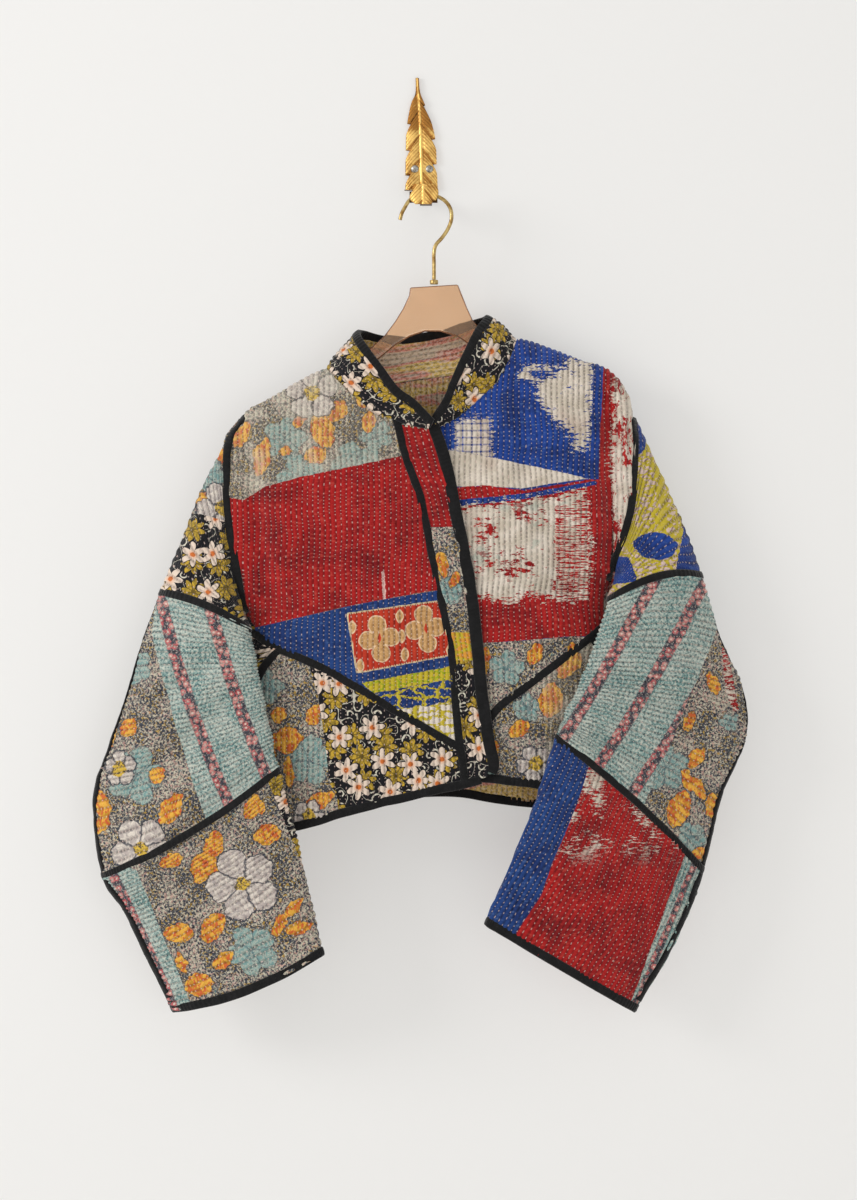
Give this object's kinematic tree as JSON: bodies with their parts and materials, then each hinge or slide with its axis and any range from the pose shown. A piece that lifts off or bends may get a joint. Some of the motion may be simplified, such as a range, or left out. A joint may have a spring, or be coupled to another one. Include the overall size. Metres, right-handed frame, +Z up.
{
  "type": "quilted cropped jacket on a clothes hanger and a wall hook",
  "caption": "Cropped quilted patchwork jacket with a stand collar and wide sleeves, hung on an acrylic hanger from a leaf-shaped brass wall hook.",
  "frame": {"origin": "on the wall behind the wall hook, midway between its two screws", "axes": "+Z up, the wall is the plane y = 0 with +Y into it, the jacket's front faces -Y, the wearer's left is +X"},
  "size_m": [0.6532, 0.1175, 0.9436],
  "materials": {
    "red_patchwork": "matte quilted cotton, worn",
    "mottled_floral_quilt": "matte quilted cotton, faded floral print",
    "dark_floral_quilt": "matte quilted cotton, dark floral print",
    "worn_red_quilt": "matte quilted cotton, worn through to cream",
    "striped_aqua_quilt": "matte quilted cotton, striped",
    "blue_dotted_quilt": "matte quilted cotton, white dots",
    "black_binding": "matte cotton tape",
    "amber_acrylic": "polished tinted acrylic",
    "gold_wire": "satin gold plated wire",
    "aged_brass": "aged cast brass",
    "screw_steel": "plated steel"
  },
  "bodies": {
    "root": {"right_front_panel": "red_patchwork", "right_front_lower_panel": "dark_floral_quilt", "placket_band": "red_patchwork", "left_front_panel": "worn_red_quilt", "left_front_lower_panel": "mottled_floral_quilt", "back_panel": "mottled_floral_quilt", "right_side_panel": "dark_floral_quilt", "left_side_panel": "mottled_floral_quilt", "front_edge_binding": "black_binding", "placket_seam_binding": "black_binding", "left_edge_binding": "black_binding", "right_diagonal_binding": "black_binding", "left_diagonal_binding": "black_binding", "right_front_side_binding": "black_binding", "left_front_side_binding": "black_binding", "right_back_side_binding": "black_binding", "left_back_side_binding": "black_binding", "right_armhole_binding": "black_binding", "left_armhole_binding": "black_binding", "right_front_hem_binding": "black_binding", "left_front_hem_binding": "black_binding", "back_hem_binding": "black_binding", "right_shoulder_binding": "black_binding", "left_shoulder_binding": "black_binding", "right_sleeve_cap": "dark_floral_quilt", "right_sleeve_middle": "striped_aqua_quilt", "right_sleeve_lower": "mottled_floral_quilt", "right_cap_seam_binding": "black_binding", "right_elbow_seam_binding": "black_binding", "right_cuff_binding": "black_binding", "right_outer_seam_binding_middle": "black_binding", "right_outer_seam_binding_lower": "black_binding", "left_sleeve_cap": "blue_dotted_quilt", "left_sleeve_middle": "striped_aqua_quilt", "left_sleeve_lower": "red_patchwork", "left_cap_seam_binding": "black_binding", "left_elbow_seam_binding": "black_binding", "left_cuff_binding": "black_binding", "left_outer_seam_binding_middle": "black_binding", "left_outer_seam_binding_lower": "black_binding", "stand_collar": "dark_floral_quilt", "collar_edge_binding": "black_binding", "hanger_plate": "amber_acrylic", "hanger_ferrule": "gold_wire", "hanger_hook": "gold_wire", "wall_hook": "aged_brass", "wall_screw_right": "screw_steel", "wall_screw_left": "screw_steel"}
  },
  "joints": []
}
